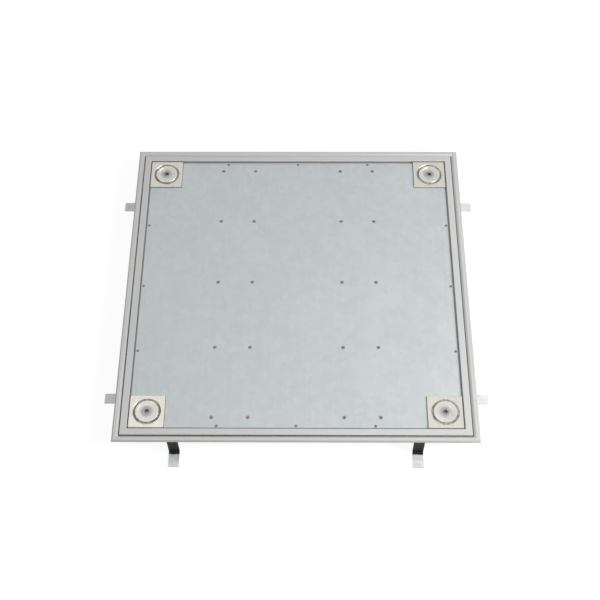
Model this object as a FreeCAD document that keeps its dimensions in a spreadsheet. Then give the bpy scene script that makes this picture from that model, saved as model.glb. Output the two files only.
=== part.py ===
import FreeCAD, Part
import os
from types import SimpleNamespace

import Sketcher
from FreeCAD import Placement, Rotation, Vector

# Floor access cover: a shallow tray in an aluminium rim, bolted down at its corners into an
# anchored aluminium frame. Millimetres, +Z up. The origin lies under the middle of the cover,
# on the plane of the anchor strap feet.

SIZES = {
    # Frame in plan, and height from the strap feet to the top of the lip
    "frame_length": 680,
    "frame_width": 680,
    "overall_height": 52,
    # Frame extrusion: lip, hollow nose and seat ledge
    "lip_width": 12.1,
    "lip_thickness": 3.5,
    "lip_overhang": 4.2,
    "lip_bevel_width": 2.5,
    "lip_bevel_drop": 2,
    "lead_in": 4.1,
    "lead_in_drop": 2.5,
    "nose_wall": 2.2,
    "nose_floor": 4.5,
    "nose_chamfer": 4,
    "ledge_width": 27.9,
    "ledge_thickness": 3,
    "key_leg": 55,
    "key_clearance": 0.2,
    # Seal on the seat ledge and the rib that keeps it there
    "seal_width": 15.4,
    "seal_height": 3.5,
    "seal_clearance": 0.3,
    "seal_rib_width": 1.5,
    "seal_rib_height": 1.5,
    # Rim extrusion of the cover
    "cover_gap": 1.6,
    "rim_width": 12.8,
    "rim_top": 3,
    "rim_wall": 2.5,
    "rim_edge_bevel": 0.6,
    "rim_flange_thickness": 3,
    "rim_flange_margin": 8,
    # Tray floor
    "tray_recess": 4.5,
    "sheet_thickness": 3,
    "sheet_gap": 3.2,
    "notch_clearance": 0.5,
    # Stiffeners below the tray floor
    "stiffener_spacing": 248,
    "stiffener_height": 28,
    "stiffener_thickness": 2,
    "stiffener_channel": 44,
    "stiffener_flange": 24,
    "stiffener_bend": 2.5,
    "stiffener_end_gap": 0.5,
    # Screws of the tray floor
    "screw_sink": 0.15,
    "tray_screw_diameter": 4.2,
    "tray_screw_head": 8,
    "edge_screw_diameter": 3.5,
    "edge_screw_head": 6.4,
    "edge_screw_length": 7,
    "edge_screw_inset": 3.8,
    "edge_screw_pitch": 148,
    "stiffener_screw_length": 10,
    "stiffener_screw_margin": 21.3,
    "stiffener_screw_step": 0.258,
    # Corner blocks and their screws
    "block_size": 66,
    "block_clearance": 2,
    "block_drop": 1.3,
    "block_bevel": 0.6,
    "block_tongue": 12,
    "block_tongue_gap": 0.5,
    "block_wall": 7,
    "block_screw_length": 6.5,
    "block_screw_spacing": 38,
    # Lock in each corner block
    "lock_recess": 4.5,
    "lock_ring_width": 4,
    "lock_ring_height": 3.2,
    "lock_ring_clearance": 0.2,
    "lock_disc_sink": 0.2,
    "lock_disc_bevel": 0.5,
    "lock_dish_depth": 0.6,
    "lock_dish_wall": 4.5,
    "lock_hub_diameter": 26,
    "lock_hub_depth": 4,
    "lock_hub_clearance": 0.2,
    "bolt_diameter": 12,
    "bolt_head": 22,
    "bolt_length": 36,
    "bolt_tip": 1,
    "bolt_clearance": 0.4,
    "socket_width": 8,
    "socket_depth": 5,
    "nut_width": 19,
    "nut_height": 10,
    "thread_clearance": 0.1,
    # Gussets under the frame corners
    "gusset_thickness": 4,
    "gusset_reach": 34,
    "gusset_corner": 8,
    "gusset_setback": 0.5,
    "gusset_screw_spacing": 40,
    "frame_screw_diameter": 5,
    "frame_screw_head": 9.2,
    # Anchor straps and their rivets
    "strap_width": 20,
    "strap_thickness": 3,
    "strap_reach": 29,
    "strap_bend": 3,
    "strap_top_gap": 0.3,
    "strap_end_distance": 112,
    "rivet_diameter": 4,
    "rivet_head": 7,
    "rivet_head_height": 1.2,
    "rivet_tail": 5.6,
    "rivet_tail_length": 2.6,
    "rivet_spacing": 11,
    "rivet_clearance": 0.1,
}

DOWN = Rotation(Vector(1, 0, 0), 180)
UP = Rotation()

# Shares of a fastener's own radius or height that shape its ends
SCREW_POINT = 0.7
RIVET_CROWN = 0.6
RIVET_EDGE = 0.3
RIVET_SHOULDER = 0.7

# Distance under which two corners are the same, and the least volume that a cut takes away
SAME_SPOT = 1e-4
LEAST_CUT = 0.1


class Size:
    """A length kept both as a number, to draw with, and as the text that ties it to the sheet."""

    def __init__(self, value, text=None):
        self.value = float(value)
        self.text = text or f"({self.value})"

    def __add__(self, other):
        other = as_size(other)
        return Size(self.value + other.value, f"({self.text} + {other.text})")

    def __sub__(self, other):
        other = as_size(other)
        return Size(self.value - other.value, f"({self.text} - {other.text})")

    def __mul__(self, other):
        other = as_size(other)
        return Size(self.value * other.value, f"({self.text} * {other.text})")

    def __truediv__(self, other):
        other = as_size(other)
        return Size(self.value / other.value, f"({self.text} / {other.text})")

    def __neg__(self):
        return self * -1


def as_size(value):
    """Give a plain number the same two sides as a size of the sheet."""
    return value if isinstance(value, Size) else Size(value)


doc = FreeCAD.newDocument("floor_access_cover")
sheet = doc.addObject("Spreadsheet::Sheet", "Sizes")
for row, (alias, number) in enumerate(SIZES.items(), 1):
    sheet.set(f"A{row}", alias)
    sheet.set(f"B{row}", str(number))
    sheet.setAlias(f"B{row}", alias)
doc.recompute()

at = SimpleNamespace(**{alias: Size(number, f"Sizes.{alias}") for alias, number in SIZES.items()})
nodes = []

# Levels of the stack, from the lip down
top = at.overall_height
lip_under = top - at.lip_thickness
sheet_top = top - at.tray_recess
sheet_under = sheet_top - at.sheet_thickness
flange_under = sheet_under - at.rim_flange_thickness
ledge_top = flange_under - at.seal_height
ledge_under = ledge_top - at.ledge_thickness
gusset_under = ledge_under - at.gusset_thickness
block_top = top - at.block_drop
lock_rest = block_top - at.lock_recess
through = top * 4

# Lines in plan, each a distance in from the outer edge of the lip
nose_face = at.lip_overhang
chamber_outer = nose_face + at.nose_wall
chamber_inner = at.lip_width - at.nose_wall
seal_outer = at.lip_width + at.seal_clearance
seal_inner = seal_outer + at.seal_width
rib_outer = seal_inner + at.seal_clearance
ledge_middle = at.lip_width + at.ledge_width / 2
ledge_edge = at.lip_width + at.ledge_width
rim_face = at.lip_width + at.cover_gap
rim_edge = rim_face + at.rim_width
sheet_edge = rim_edge + at.sheet_gap
edge_screw_line = sheet_edge + at.edge_screw_inset
flange_edge = edge_screw_line + at.rim_flange_margin
block_edge = rim_edge + at.block_clearance
block_far = block_edge + at.block_size
lock_centre = block_edge + at.block_size / 2
block_screw_line = (block_edge + flange_edge) / 2
rivet_level = (lip_under + ledge_under + at.nose_chamfer) / 2

SIDES = (
    ("front", 0, at.frame_length, Size(0), at.frame_width / -2),
    ("right", 90, at.frame_width, at.frame_length / 2, Size(0)),
    ("rear", 180, at.frame_length, Size(0), at.frame_width / 2),
    ("left", 270, at.frame_width, at.frame_length / -2, Size(0)),
)
CORNERS = (
    ("front_left", 0, -1, -1),
    ("front_right", 90, 1, -1),
    ("rear_right", 180, 1, 1),
    ("rear_left", 270, -1, 1),
)


def new_body(label):
    """Start a body of the document under its own name."""
    body = doc.addObject("PartDesign::Body", label)
    body.Label = label
    return body


def place(item, x, y, z, rotation):
    """Put a piece down at live distances from the origin."""
    spot = [as_size(size) for size in (x, y, z)]
    item.Placement = Placement(Vector(*[size.value for size in spot]), rotation)
    for axis, size in zip("xyz", spot):
        item.setExpression(f"Placement.Base.{axis}", size.text)


def turned(angle):
    """A turn about the upright axis."""
    return Rotation(Vector(0, 0, 1), angle)


def new_sketch(body, name, plane, level=None):
    """A sketch on one of the body's own planes, raised to a level where one is given."""
    sketch = body.newObject("Sketcher::SketchObject", name)
    support = next(item for item in body.Origin.OriginFeatures if item.Role == plane)
    sketch.AttachmentSupport = [(support, "")]
    sketch.MapMode = "FlatFace"
    if level is not None:
        sketch.AttachmentOffset = Placement(Vector(0, 0, level.value), Rotation())
        sketch.setExpression("AttachmentOffset.Base.z", level.text)
    return sketch


def tie(sketch, geometry, point, x, y):
    """Hold one point of a sketch at live distances from the sketch origin."""
    for kind, distance in (("DistanceX", x), ("DistanceY", y)):
        index = sketch.addConstraint(Sketcher.Constraint(kind, -1, 1, geometry, point, distance.value))
        sketch.setExpression(f"Constraints[{index}]", distance.text)


def polygon(sketch, corners):
    """Draw a closed outline whose corners are all tied to the sheet."""
    corners = [(as_size(x), as_size(y)) for x, y in corners]
    points = [Vector(x.value, y.value, 0) for x, y in corners]
    first = sketch.GeometryCount
    count = len(points)
    for index in range(count):
        sketch.addGeometry(Part.LineSegment(points[index], points[(index + 1) % count]), False)
    for index in range(count):
        following = first + (index + 1) % count
        sketch.addConstraint(Sketcher.Constraint("Coincident", first + index, 2, following, 1))
    for index, (x, y) in enumerate(corners):
        tie(sketch, first + index, 1, x, y)


def rectangle(sketch, left, low, right, high):
    """Draw a rectangle between two opposite corners."""
    polygon(sketch, [(left, low), (right, low), (right, high), (left, high)])


def hexagon(sketch, width):
    """Draw a hexagon about the sketch origin, given its width across flats."""
    corner = width / 3 ** 0.5
    half = corner / 2
    flat = width / 2
    polygon(sketch, [(corner, 0), (half, flat), (-half, flat), (-corner, 0), (-half, -flat), (half, -flat)])


def circles(sketch, spots, diameter):
    """Draw equal circles with live centres and a live diameter."""
    for x, y in spots:
        x, y = as_size(x), as_size(y)
        circle = Part.Circle(Vector(x.value, y.value, 0), Vector(0, 0, 1), diameter.value / 2)
        geometry = sketch.addGeometry(circle, False)
        tie(sketch, geometry, 3, x, y)
        index = sketch.addConstraint(Sketcher.Constraint("Diameter", geometry, diameter.value))
        sketch.setExpression(f"Constraints[{index}]", diameter.text)


def pad(body, sketch, length, symmetric=False):
    """Extrude a sketch along its normal, or evenly to both sides of its plane."""
    feature = body.newObject("PartDesign::Pad", f"{sketch.Name}_pad")
    feature.Profile = sketch
    feature.SideType = "Symmetric" if symmetric else "One side"
    feature.setExpression("Length", length.text)
    return feature


def pocket(body, sketch, depth, upward=False, symmetric=False):
    """Cut a sketch against its normal, along it, or evenly to both sides of its plane."""
    feature = body.newObject("PartDesign::Pocket", f"{sketch.Name}_pocket")
    feature.Profile = sketch
    feature.SideType = "Symmetric" if symmetric else "One side"
    feature.Reversed = upward
    feature.setExpression("Length", depth.text)
    return feature


def bore(body, name, spots, diameter):
    """Drill upright holes right through."""
    sketch = new_sketch(body, name, "XY_Plane")
    circles(sketch, spots, diameter)
    return pocket(body, sketch, through, symmetric=True)


def countersink(body, name, level, spots, diameter, head, upward=False):
    """Drill upright holes right through and countersink them where they start."""
    sketch = new_sketch(body, name, "XY_Plane", level)
    circles(sketch, spots, diameter)
    doc.recompute()
    hole = body.newObject("PartDesign::Hole", f"{name}_hole")
    hole.Profile = sketch
    hole.ThreadType = "None"
    hole.DepthType = "ThroughAll"
    hole.HoleCutType = "Countersink"
    hole.HoleCutCustomValues = True
    hole.HoleCutCountersinkAngle = 90
    hole.Reversed = upward
    hole.setExpression("Diameter", diameter.text)
    hole.setExpression("HoleCutDiameter", head.text)
    return hole


def revolve(body, outline):
    """Turn a half section, given as radius and height, about the body's upright axis."""
    sketch = new_sketch(body, f"{body.Name}_half", "XZ_Plane")
    polygon(sketch, outline)
    feature = body.newObject("PartDesign::Revolution", f"{body.Name}_turning")
    feature.Profile = sketch
    feature.ReferenceAxis = (sketch, ["V_Axis"])
    feature.Angle = 360
    return feature


def bend(body, base, across, corners, radius):
    """Round the edges of a folded section that run through the given corners."""
    doc.recompute()
    spots = [(x.value, z.value) for x, z in corners]
    names = []
    for number, edge in enumerate(base.Shape.Edges, 1):
        ends = [(vertex.Point[across], vertex.Point.z) for vertex in edge.Vertexes]
        for x, z in spots:
            if all(abs(end[0] - x) + abs(end[1] - z) < SAME_SPOT for end in ends):
                names.append(f"Edge{number}")
    feature = body.newObject("PartDesign::Fillet", f"{base.Name}_bend")
    feature.Base = (base, names)
    feature.setExpression("Radius", radius.text)
    return feature


def mirrored(values):
    """The same distances on both sides of a middle line."""
    return [value * sign for value in values for sign in (-1, 1)]


def from_corners(u, v):
    """The four spots at given distances in from both outer edges of the frame."""
    x = at.frame_length / 2 - u
    y = at.frame_width / 2 - v
    return [(x * across, y * along) for _, _, across, along in CORNERS]


def beside_mitres(spacing, line):
    """Two spots on each rail at every corner, level with the lock and in line with the rail."""
    spots = []
    for distance in (lock_centre - spacing / 2, lock_centre + spacing / 2):
        spots += from_corners(distance, line)
        spots += from_corners(line, distance)
    return spots


def mitred_rail(body, length, outline, chamber=None):
    """A length of one section with both ends cut at 45 degrees."""
    section = new_sketch(body, f"{body.Name}_section", "YZ_Plane")
    polygon(section, outline)
    if chamber:
        rectangle(section, *chamber)
    pad(body, section, length, symmetric=True)
    mitre = new_sketch(body, f"{body.Name}_mitre", "XY_Plane")
    reach = flange_edge * 2
    for sign in (-1, 1):
        end = length * sign / 2
        polygon(mitre, [(end, 0), (end, reach), (end - reach * sign, reach)])
    pocket(body, mitre, through, symmetric=True)


def finish_side(body, angle, x, y):
    """Turn a rail to its side of the frame and keep it as a piece."""
    place(body, x, y, 0, turned(angle))
    nodes.append(body)


def finish_corner(body, angle, across, along, inset=0):
    """Turn a piece drawn from the outer corner of the frame to its own corner and keep it."""
    x = at.frame_length / 2 - inset
    y = at.frame_width / 2 - inset
    place(body, x * across, y * along, 0, turned(angle))
    nodes.append(body)


def frame_rail(side, angle, length, x, y):
    """Frame extrusion: bevelled lip over a hollow nose, and the ledge that carries the cover."""
    body = new_body(f"frame_rail_{side}")
    outline = [
        (0, lip_under),
        (0, top - at.lip_bevel_drop),
        (at.lip_bevel_width, top),
        (at.lip_width - at.lead_in, top),
        (at.lip_width, top - at.lead_in_drop),
        (at.lip_width, ledge_top),
        (rib_outer, ledge_top),
        (rib_outer, ledge_top + at.seal_rib_height),
        (rib_outer + at.seal_rib_width, ledge_top + at.seal_rib_height),
        (rib_outer + at.seal_rib_width, ledge_top),
        (ledge_edge, ledge_top),
        (ledge_edge, ledge_under),
        (nose_face + at.nose_chamfer, ledge_under),
        (nose_face, ledge_under + at.nose_chamfer),
        (nose_face, lip_under),
    ]
    mitred_rail(body, length, outline, (chamber_outer, ledge_under + at.nose_floor, chamber_inner, lip_under))
    along = [lock_centre - at.gusset_screw_spacing / 2, lock_centre + at.gusset_screw_spacing / 2]
    spots = [(spot, ledge_middle) for spot in mirrored([length / 2 - step for step in along])]
    bore(body, f"gusset_holes_{side}", spots, at.frame_screw_diameter + at.thread_clearance * 2)
    rivets = new_sketch(body, f"rivet_holes_{side}", "XZ_Plane")
    strap = length / 2 - at.strap_end_distance
    spots = mirrored([strap - at.rivet_spacing / 2, strap + at.rivet_spacing / 2])
    circles(rivets, [(spot, rivet_level) for spot in spots], at.rivet_diameter + at.rivet_clearance * 2)
    pocket(body, rivets, (chamber_outer + chamber_inner) / 2)
    finish_side(body, angle, x, y)


def frame_seal(side, angle, length, x, y):
    """Black seal strip between the ledge and the underside of the cover rim."""
    body = new_body(f"frame_seal_{side}")
    outline = [
        (seal_outer, ledge_top),
        (seal_inner, ledge_top),
        (seal_inner, flange_under),
        (seal_outer, flange_under),
    ]
    mitred_rail(body, length, outline)
    finish_side(body, angle, x, y)


def cover_rim(side, angle, length, x, y):
    """Rim extrusion: top edge, outer wall and the lower flange that carries the tray floor."""
    body = new_body(f"cover_rim_{side}")
    bevel = at.rim_edge_bevel
    outline = [
        (rim_face, flange_under),
        (flange_edge, flange_under),
        (flange_edge, sheet_under),
        (rim_face + at.rim_wall, sheet_under),
        (rim_face + at.rim_wall, top - at.rim_top),
        (rim_edge, top - at.rim_top),
        (rim_edge, top - bevel),
        (rim_edge - bevel, top),
        (rim_face + bevel, top),
        (rim_face, top - bevel),
    ]
    mitred_rail(body, length, outline)
    spots = [(spot, edge_screw_line) for spot in (at.edge_screw_pitch * -1, Size(0), at.edge_screw_pitch)]
    bore(body, f"edge_holes_{side}", spots, at.edge_screw_diameter + at.thread_clearance * 2)
    along = [lock_centre - at.block_screw_spacing / 2, lock_centre + at.block_screw_spacing / 2]
    spots = [(spot, block_screw_line) for spot in mirrored([length / 2 - step for step in along])]
    countersink(
        body,
        f"block_holes_{side}",
        flange_under,
        spots,
        at.frame_screw_diameter + at.thread_clearance * 2,
        at.frame_screw_head + at.screw_sink * 2,
        upward=True,
    )
    finish_side(body, angle, x, y)


def anchor_strap(side, hand, angle, offset, x, y):
    """Flat bar riveted to the nose under the lip, down to a foot that is cast into the floor."""
    body = new_body(f"anchor_strap_{side}_{hand}")
    face = nose_face - at.strap_thickness
    section = new_sketch(body, f"{body.Name}_section", "YZ_Plane")
    polygon(section, [
        (nose_face, 0),
        (nose_face, lip_under - at.strap_top_gap),
        (face, lip_under - at.strap_top_gap),
        (face, at.strap_thickness),
        (at.strap_reach * -1, at.strap_thickness),
        (at.strap_reach * -1, 0),
    ])
    bar = pad(body, section, at.strap_width, symmetric=True)
    inner = bend(body, bar, 1, [(face, at.strap_thickness)], at.strap_bend)
    bend(body, inner, 1, [(nose_face, Size(0))], at.strap_bend + at.strap_thickness)
    rivets = new_sketch(body, f"{body.Name}_rivets", "XZ_Plane")
    spots = [(spot, rivet_level) for spot in mirrored([at.rivet_spacing / 2])]
    circles(rivets, spots, at.rivet_diameter + at.rivet_clearance * 2)
    pocket(body, rivets, through, symmetric=True)
    across = offset if side in ("front", "rear") else Size(0)
    along = Size(0) if side in ("front", "rear") else offset
    place(body, x + across, y + along, 0, turned(angle))
    nodes.append(body)


def corner_key(corner, angle, across, along):
    """Flat angle pressed into the hollow noses of two rails, so that the mitre stays shut."""
    body = new_body(f"frame_corner_key_{corner}")
    outer = chamber_outer + at.key_clearance
    inner = chamber_inner - at.key_clearance
    end = outer + at.key_leg
    low = ledge_under + at.nose_floor
    outline = new_sketch(body, f"{body.Name}_outline", "XY_Plane", low)
    polygon(outline, [(outer, outer), (end, outer), (end, inner), (inner, inner), (inner, end), (outer, end)])
    pad(body, outline, lip_under - at.key_clearance - low)
    finish_corner(body, angle, across, along)


def corner_gusset(corner, angle, across, along):
    """Plate under the ledges of two rails that ties them and carries the lock nut."""
    body = new_body(f"frame_gusset_{corner}")
    near = nose_face + at.nose_chamfer + at.gusset_setback
    far = lock_centre + at.gusset_reach
    cut = lock_centre + at.gusset_corner
    outline = new_sketch(body, f"{body.Name}_outline", "XY_Plane", gusset_under)
    polygon(outline, [(near, near), (far, near), (far, cut), (cut, far), (near, far)])
    pad(body, outline, at.gusset_thickness)
    bore(body, f"{body.Name}_bolt", [(lock_centre, lock_centre)], at.bolt_diameter + at.bolt_clearance * 2)
    spots = []
    for step in (lock_centre - at.gusset_screw_spacing / 2, lock_centre + at.gusset_screw_spacing / 2):
        spots += [(step, ledge_middle), (ledge_middle, step)]
    countersink(
        body,
        f"{body.Name}_screws",
        gusset_under,
        spots,
        at.frame_screw_diameter + at.thread_clearance * 2,
        at.frame_screw_head + at.screw_sink * 2,
        upward=True,
    )
    finish_corner(body, angle, across, along)


def corner_block(corner, angle, across, along):
    """Square block on the rim flanges, just below the lip, with the lock recess and a tongue."""
    body = new_body(f"corner_block_{corner}")
    base = new_sketch(body, f"{body.Name}_base", "XY_Plane", flange_under)
    near = flange_edge + at.block_tongue_gap
    far = block_far + at.block_tongue
    rectangle(base, near, near, far, far)
    pad(body, base, at.rim_flange_thickness)
    head = new_sketch(body, f"{body.Name}_head", "XY_Plane", sheet_under)
    rectangle(head, block_edge, block_edge, block_far, block_far)
    pad(body, head, block_top - sheet_under)
    middle = [(lock_centre, lock_centre)]
    recess = new_sketch(body, f"{body.Name}_recess", "XY_Plane", block_top)
    circles(recess, middle, at.block_size - at.block_wall * 2)
    recessed = pocket(body, recess, at.lock_recess)
    doc.recompute()
    rims = [
        f"Edge{number}"
        for number, edge in enumerate(recessed.Shape.Edges, 1)
        if all(abs(vertex.Point.z - block_top.value) < SAME_SPOT for vertex in edge.Vertexes)
    ]
    bevel = body.newObject("PartDesign::Chamfer", f"{body.Name}_bevel")
    bevel.Base = (recessed, rims)
    bevel.setExpression("Size", at.block_bevel.text)
    bore(body, f"{body.Name}_hub", middle, at.lock_hub_diameter)
    threads = new_sketch(body, f"{body.Name}_threads", "XY_Plane", sheet_under)
    spots = []
    for step in (lock_centre - at.block_screw_spacing / 2, lock_centre + at.block_screw_spacing / 2):
        spots += [(step, block_screw_line), (block_screw_line, step)]
    circles(threads, spots, at.frame_screw_diameter + at.thread_clearance * 2)
    pocket(body, threads, at.block_screw_length - at.rim_flange_thickness + at.bolt_tip, upward=True)
    finish_corner(body, angle, across, along)


def lock_disc(corner, angle, across, along):
    """Turned disc with a dished face, level with the lip, in the block recess under the bolt."""
    body = new_body(f"lock_disc_{corner}")
    rest = lock_rest
    face = top - at.lock_disc_sink
    dish = face - at.lock_dish_depth
    radius = at.block_size / 2 - at.block_wall - at.lock_ring_width
    hub = at.lock_hub_diameter / 2 - at.lock_hub_clearance
    hole = at.bolt_diameter / 2 + at.bolt_clearance
    seat = at.bolt_head / 2
    revolve(body, [
        (hole, rest - at.lock_hub_depth),
        (hub, rest - at.lock_hub_depth),
        (hub, rest),
        (radius, rest),
        (radius, face - at.lock_disc_bevel),
        (radius - at.lock_disc_bevel, face),
        (radius - at.lock_dish_wall, face),
        (radius - at.lock_dish_wall - at.lock_dish_depth, dish),
        (seat, dish),
        (hole, dish - seat + hole),
    ])
    finish_corner(body, angle, across, along, lock_centre)


def lock_ring(corner, angle, across, along):
    """Black ring seal in the groove between the lock disc and its block."""
    body = new_body(f"lock_ring_{corner}")
    rest = lock_rest
    groove = at.block_size / 2 - at.block_wall
    inner = groove - at.lock_ring_width + at.lock_ring_clearance
    outer = groove - at.lock_ring_clearance
    high = rest + at.lock_ring_height
    revolve(body, [(inner, rest), (outer, rest), (outer, high), (inner, high)])
    finish_corner(body, angle, across, along, lock_centre)


def tray_floor():
    """Galvanised sheet on the rim flanges, notched for the corner blocks and countersunk."""
    body = new_body("tray_floor")
    x = at.frame_length / 2 - sheet_edge
    y = at.frame_width / 2 - sheet_edge
    notch_x = at.frame_length / 2 - block_far - at.notch_clearance
    notch_y = at.frame_width / 2 - block_far - at.notch_clearance
    outline = new_sketch(body, "tray_floor_outline", "XY_Plane", sheet_under)
    polygon(outline, [
        (-notch_x, -y), (notch_x, -y), (notch_x, -notch_y), (x, -notch_y),
        (x, notch_y), (notch_x, notch_y), (notch_x, y), (-notch_x, y),
        (-notch_x, notch_y), (-x, notch_y), (-x, -notch_y), (-notch_x, -notch_y),
    ])
    pad(body, outline, at.sheet_thickness)
    for name, spots, diameter, head in (
        ("tray_floor_screws", stiffener_spots(), at.tray_screw_diameter, at.tray_screw_head),
        ("tray_floor_edge_screws", edge_spots(), at.edge_screw_diameter, at.edge_screw_head),
    ):
        countersink(
            body,
            name,
            sheet_top,
            spots,
            diameter + at.thread_clearance * 2,
            head + at.screw_sink * 2,
        )
    nodes.append(body)


def stiffener(hand, sign):
    """Folded hat section screwed under the tray floor by both of its flanges."""
    body = new_body(f"stiffener_{hand}")
    wall = at.stiffener_thickness
    channel = at.stiffener_channel / 2
    inside = channel - wall
    tip = channel + at.stiffener_flange
    low = sheet_under - at.stiffener_height
    section = new_sketch(body, f"{body.Name}_section", "XZ_Plane")
    polygon(section, [
        (-tip, sheet_under), (-inside, sheet_under), (-inside, low + wall), (inside, low + wall),
        (inside, sheet_under), (tip, sheet_under), (tip, sheet_under - wall), (channel, sheet_under - wall),
        (channel, low), (-channel, low), (-channel, sheet_under - wall), (-tip, sheet_under - wall),
    ])
    length = at.frame_width - (flange_edge + at.stiffener_end_gap) * 2
    hat = pad(body, section, length, symmetric=True)
    tight = [(channel, sheet_under - wall), (inside, low + wall)]
    wide = [(inside, sheet_under), (channel, low)]
    inner = bend(body, hat, 0, tight + [(-x, z) for x, z in tight], at.stiffener_bend)
    bend(body, inner, 0, wide + [(-x, z) for x, z in wide], at.stiffener_bend + wall)
    lines = mirrored([channel + at.stiffener_flange / 2])
    spots = [(line, row) for line in lines for row in stiffener_rows()]
    bore(body, f"{body.Name}_holes", spots, at.tray_screw_diameter + at.thread_clearance * 2)
    place(body, at.stiffener_spacing * sign / 2, 0, 0, turned(0))
    nodes.append(body)


def stiffener_rows():
    """Rows of screws along a stiffener: even steps from the front, and one at the rear end."""
    end = at.frame_width / 2 - sheet_edge - at.stiffener_screw_margin
    step = end * 2 * at.stiffener_screw_step
    return [step * count - end for count in range(4)] + [end]


def stiffener_spots():
    """Every screw that holds a stiffener."""
    line = (at.stiffener_channel + at.stiffener_flange) / 2
    lines = [at.stiffener_spacing * sign / 2 + shift for sign in (-1, 1) for shift in (-line, line)]
    return [(x, y) for x in lines for y in stiffener_rows()]


def edge_spots():
    """Every screw along the edges of the tray floor."""
    x = at.frame_length / 2 - edge_screw_line
    y = at.frame_width / 2 - edge_screw_line
    steps = (at.edge_screw_pitch * -1, Size(0), at.edge_screw_pitch)
    spots = [(step, side) for step in steps for side in (-y, y)]
    return spots + [(side, step) for step in steps for side in (-x, x)]


def countersunk_screw(name, diameter, head, length):
    """A screw with its flat head at the origin and its shank downward."""
    body = new_body(name)
    radius = diameter / 2
    rim = head / 2
    point = radius * SCREW_POINT
    revolve(body, [
        (0, 0),
        (0, -length),
        (point, -length),
        (radius, radius - point - length),
        (radius, radius - rim),
        (rim, 0),
    ])
    return body


def lock_bolt():
    """Countersunk socket bolt with its head at the origin."""
    body = new_body("lock_bolt")
    radius = at.bolt_diameter / 2
    rim = at.bolt_head / 2
    revolve(body, [
        (0, 0),
        (0, at.bolt_length * -1),
        (radius - at.bolt_tip, at.bolt_length * -1),
        (radius, at.bolt_tip - at.bolt_length),
        (radius, radius - rim),
        (rim, 0),
    ])
    socket = new_sketch(body, "lock_bolt_socket", "XY_Plane")
    hexagon(socket, at.socket_width)
    pocket(body, socket, at.socket_depth)
    return body


def lock_nut():
    """Hexagon nut with its top face at the origin."""
    body = new_body("lock_nut")
    flats = new_sketch(body, "lock_nut_flats", "XY_Plane", at.nut_height * -1)
    hexagon(flats, at.nut_width)
    pad(body, flats, at.nut_height)
    bore(body, "lock_nut_bore", [(Size(0), Size(0))], at.bolt_diameter + at.thread_clearance * 2)
    return body


def anchor_rivet():
    """Blind rivet along the upright axis: domed head below the origin, set tail above."""
    body = new_body("anchor_rivet")
    radius = at.rivet_diameter / 2
    rim = at.rivet_head / 2
    grip = at.strap_thickness + at.nose_wall
    tail = at.rivet_tail / 2
    revolve(body, [
        (0, at.rivet_head_height * -1),
        (rim * RIVET_CROWN, at.rivet_head_height * -1),
        (rim, at.rivet_head_height * RIVET_EDGE * -1),
        (rim, 0),
        (radius, 0),
        (radius, grip),
        (tail, grip),
        (tail, grip + at.rivet_tail_length * RIVET_SHOULDER),
        (radius, grip + at.rivet_tail_length),
        (0, grip + at.rivet_tail_length),
    ])
    return body


def fasteners(label, pattern, spots, level, rotation=UP):
    """A piece made of equal fasteners, one at each spot."""
    links = []
    for number, (x, y) in enumerate(spots, 1):
        link = doc.addObject("App::Link", f"{label}_{number}")
        link.LinkedObject = pattern
        turn = rotation[number - 1] if isinstance(rotation, list) else rotation
        place(link, x, y, level, turn)
        links.append(link)
    group = doc.addObject("Part::Compound", label)
    group.Label = label
    group.Links = links
    nodes.append(group)


def strap_offsets(length):
    """Positions of the straps along one side."""
    return (("low", at.strap_end_distance - length / 2), ("high", length / 2 - at.strap_end_distance))


rivet_spots = []
rivet_turns = []
for side, angle, length, x, y in SIDES:
    frame_rail(side, angle, length, x, y)
    frame_seal(side, angle, length, x, y)
    cover_rim(side, angle, length, x, y)
    inward = turned(angle)
    for hand, offset in strap_offsets(length):
        anchor_strap(side, hand, angle, offset, x, y)
        for shift in (at.rivet_spacing / -2, at.rivet_spacing / 2):
            start = nose_face - at.strap_thickness
            if side in ("front", "rear"):
                depth = y + start if side == "front" else y - start
                rivet_spots.append((offset + shift, depth))
            else:
                depth = x + start if side == "left" else x - start
                rivet_spots.append((depth, offset + shift))
            rivet_turns.append(inward.multiply(Rotation(Vector(1, 0, 0), -90)))

for corner in CORNERS:
    corner_key(*corner)
    corner_gusset(*corner)
    corner_block(*corner)
    lock_disc(*corner)
    lock_ring(*corner)

tray_floor()
stiffener("left", -1)
stiffener("right", 1)

edge_screw = countersunk_screw("edge_screw", at.edge_screw_diameter, at.edge_screw_head, at.edge_screw_length)
long_screw = countersunk_screw(
    "stiffener_screw", at.tray_screw_diameter, at.tray_screw_head, at.stiffener_screw_length
)
block_screw = countersunk_screw(
    "block_screw", at.frame_screw_diameter, at.frame_screw_head, at.block_screw_length
)
gusset_screw = countersunk_screw(
    "gusset_screw",
    at.frame_screw_diameter,
    at.frame_screw_head,
    at.gusset_thickness + at.ledge_thickness - at.screw_sink * 2,
)
lock_spots = from_corners(lock_centre, lock_centre)
screw_level = sheet_top - at.screw_sink
fasteners("edge_screws", edge_screw, edge_spots(), screw_level)
fasteners("stiffener_screws", long_screw, stiffener_spots(), screw_level)
block_spots = beside_mitres(at.block_screw_spacing, block_screw_line)
fasteners("block_screws", block_screw, block_spots, flange_under + at.screw_sink, DOWN)
gusset_spots = beside_mitres(at.gusset_screw_spacing, ledge_middle)
fasteners("gusset_screws", gusset_screw, gusset_spots, gusset_under + at.screw_sink, DOWN)
bolt_level = top - at.lock_disc_sink - at.lock_dish_depth
fasteners("lock_bolts", lock_bolt(), lock_spots, bolt_level)
fasteners("lock_nuts", lock_nut(), lock_spots, gusset_under)
fasteners("anchor_rivets", anchor_rivet(), rivet_spots, rivet_level, rivet_turns)

doc.recompute()

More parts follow.
